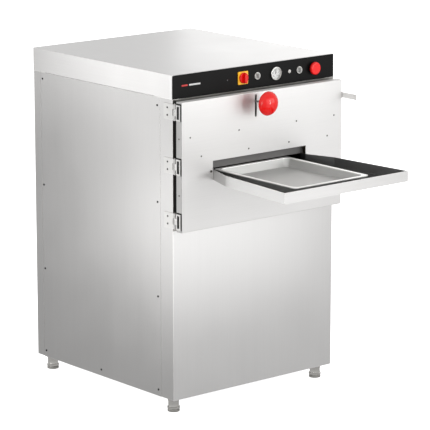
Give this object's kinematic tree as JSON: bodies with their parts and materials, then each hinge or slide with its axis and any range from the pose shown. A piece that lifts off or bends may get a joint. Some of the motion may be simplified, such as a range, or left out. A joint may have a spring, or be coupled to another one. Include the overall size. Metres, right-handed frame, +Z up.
{
  "type": "proofing cabinet",
  "caption": "Stainless bakery cabinet with a hinged slotted door, a loading shelf with a tray, a knob-lifted shutter and a black control fascia.",
  "frame": {"origin": "on the floor, at the middle of the overall width and depth, the loading shelf included", "axes": "+Z up; the door and the controls face -Y; +X is to the right for someone facing the front"},
  "size_m": [0.7975, 1.38, 1.277],
  "materials": {
    "brushed_stainless": "satin",
    "tube_steel": "satin",
    "liner_stainless": "satin",
    "polished_stainless": "polished",
    "black_fascia": "satin",
    "blackened_screws": "satin",
    "small_steel_screws": "satin",
    "red_plastic": "gloss",
    "yellow_plastic": "satin",
    "black_plastic": "satin",
    "seal_rubber": "matte",
    "mineral_wool": "matte",
    "heater_sheath": "satin",
    "tray_aluminium": "satin",
    "clear_glass": "gloss",
    "gauge_white": "satin",
    "painted_motor": "satin"
  },
  "bodies": {
    "cabinet": {"base_frame": "tube_steel", "foot_sleeves": "polished_stainless", "floor_pan": "brushed_stainless", "front_posts": "brushed_stainless", "rear_posts": "brushed_stainless", "side_panel_left": "brushed_stainless", "side_panel_right": "brushed_stainless", "rear_panel": "brushed_stainless", "lower_front_panel": "brushed_stainless", "top_cover": "brushed_stainless", "control_fascia": "black_fascia", "panel_screws": "blackened_screws", "mouth_frame": "liner_stainless", "chamber_liner": "liner_stainless", "chamber_insulation": "mineral_wool", "technical_shelf": "brushed_stainless", "tray_rack": "liner_stainless", "fan_baffle": "liner_stainless", "heater_element": "heater_sheath", "fan_motor": "painted_motor", "water_pan": "liner_stainless", "humidifier_heater": "heater_sheath", "temperature_probe": "polished_stainless", "control_box": "tube_steel", "cable_gland": "black_plastic", "isolator_plate": "yellow_plastic", "selector_bezels": "polished_stainless", "dial_gauge": "gauge_white", "gauge_glass": "clear_glass", "signal_lamp": "polished_stainless", "button_bezel": "black_plastic", "contact_blocks": "black_plastic", "hinge_leaves_cabinet": "polished_stainless", "hinge_screws": "small_steel_screws", "latch_keeper": "polished_stainless"},
    "door": {"door_skin": "brushed_stainless", "door_inner_skin": "liner_stainless", "door_insulation": "mineral_wool", "door_gasket": "seal_rubber", "hinge_leaves_door": "polished_stainless", "door_screws": "small_steel_screws", "shutter_guides": "liner_stainless", "loading_shelf": "brushed_stainless", "shelf_bolts": "small_steel_screws", "latch_bolt": "polished_stainless"},
    "latch": {"latch_lever": "polished_stainless"},
    "shutter": {"shutter": "liner_stainless", "lever_knob": "red_plastic"},
    "tray": {"baking_tray": "tray_aluminium"},
    "isolator": {"isolator_knob": "red_plastic"},
    "selector_left": {"selector_knob_left": "black_plastic"},
    "selector_right": {"selector_knob_right": "black_plastic"},
    "needle": {"gauge_needle": "blackened_screws"},
    "button": {"push_button": "red_plastic"},
    "fan": {"fan_rotor": "tray_aluminium"},
    "foot_front_left": {"foot_adjuster_front_left": "tube_steel"},
    "foot_front_right": {"foot_adjuster_front_right": "tube_steel"},
    "foot_rear_left": {"foot_adjuster_rear_left": "tube_steel"},
    "foot_rear_right": {"foot_adjuster_rear_right": "tube_steel"}
  },
  "joints": [
    {"name": "door_swing", "type": "hinge", "parent": "cabinet", "child": "door", "pos_m": [-0.391, -0.172, 0.943], "axis": [0, 0, 1], "range_deg": [-110, 0]},
    {"name": "latch_turn", "type": "hinge", "parent": "door", "child": "latch", "pos_m": [0.3953, -0.197, 1.124], "axis": [1, 0, 0], "range_deg": [0, 60]},
    {"name": "shutter_lift", "type": "slide", "parent": "door", "child": "shutter", "axis": [0, 0, 1], "range_m": [-0.038, 0.02]},
    {"name": "tray_slide", "type": "slide", "parent": "door", "child": "tray", "axis": [0, 1, 0], "range_m": [0, 0.48]},
    {"name": "isolator_turn", "type": "hinge", "parent": "cabinet", "child": "isolator", "pos_m": [-0.06, -0.162, 1.232], "axis": [0, 1, 0], "range_deg": [0, 90]},
    {"name": "selector_left_turn", "type": "hinge", "parent": "cabinet", "child": "selector_left", "pos_m": [0.01, -0.162, 1.232], "axis": [0, 1, 0], "range_deg": [-45, 45]},
    {"name": "selector_right_turn", "type": "hinge", "parent": "cabinet", "child": "selector_right", "pos_m": [0.218, -0.162, 1.232], "axis": [0, 1, 0], "range_deg": [-45, 45]},
    {"name": "needle_turn", "type": "hinge", "parent": "cabinet", "child": "needle", "pos_m": [0.099, -0.162, 1.232], "axis": [0, 1, 0], "range_deg": [-130, 130]},
    {"name": "button_push", "type": "slide", "parent": "cabinet", "child": "button", "axis": [0, 1, 0], "range_m": [0, 0.005], "stiffness_N_per_m": 600, "springref_m": -0.003},
    {"name": "fan_spin", "type": "hinge", "parent": "cabinet", "child": "fan", "pos_m": [0, 0.525, 0.935], "axis": [0, 1, 0], "continuous": true},
    {"name": "foot_level_front_left", "type": "slide", "parent": "cabinet", "child": "foot_front_left", "axis": [0, 0, -1], "range_m": [0, 0.02]},
    {"name": "foot_level_front_right", "type": "slide", "parent": "cabinet", "child": "foot_front_right", "axis": [0, 0, -1], "range_m": [0, 0.02]},
    {"name": "foot_level_rear_left", "type": "slide", "parent": "cabinet", "child": "foot_rear_left", "axis": [0, 0, -1], "range_m": [0, 0.02]},
    {"name": "foot_level_rear_right", "type": "slide", "parent": "cabinet", "child": "foot_rear_right", "axis": [0, 0, -1], "range_m": [0, 0.02]}
  ]
}
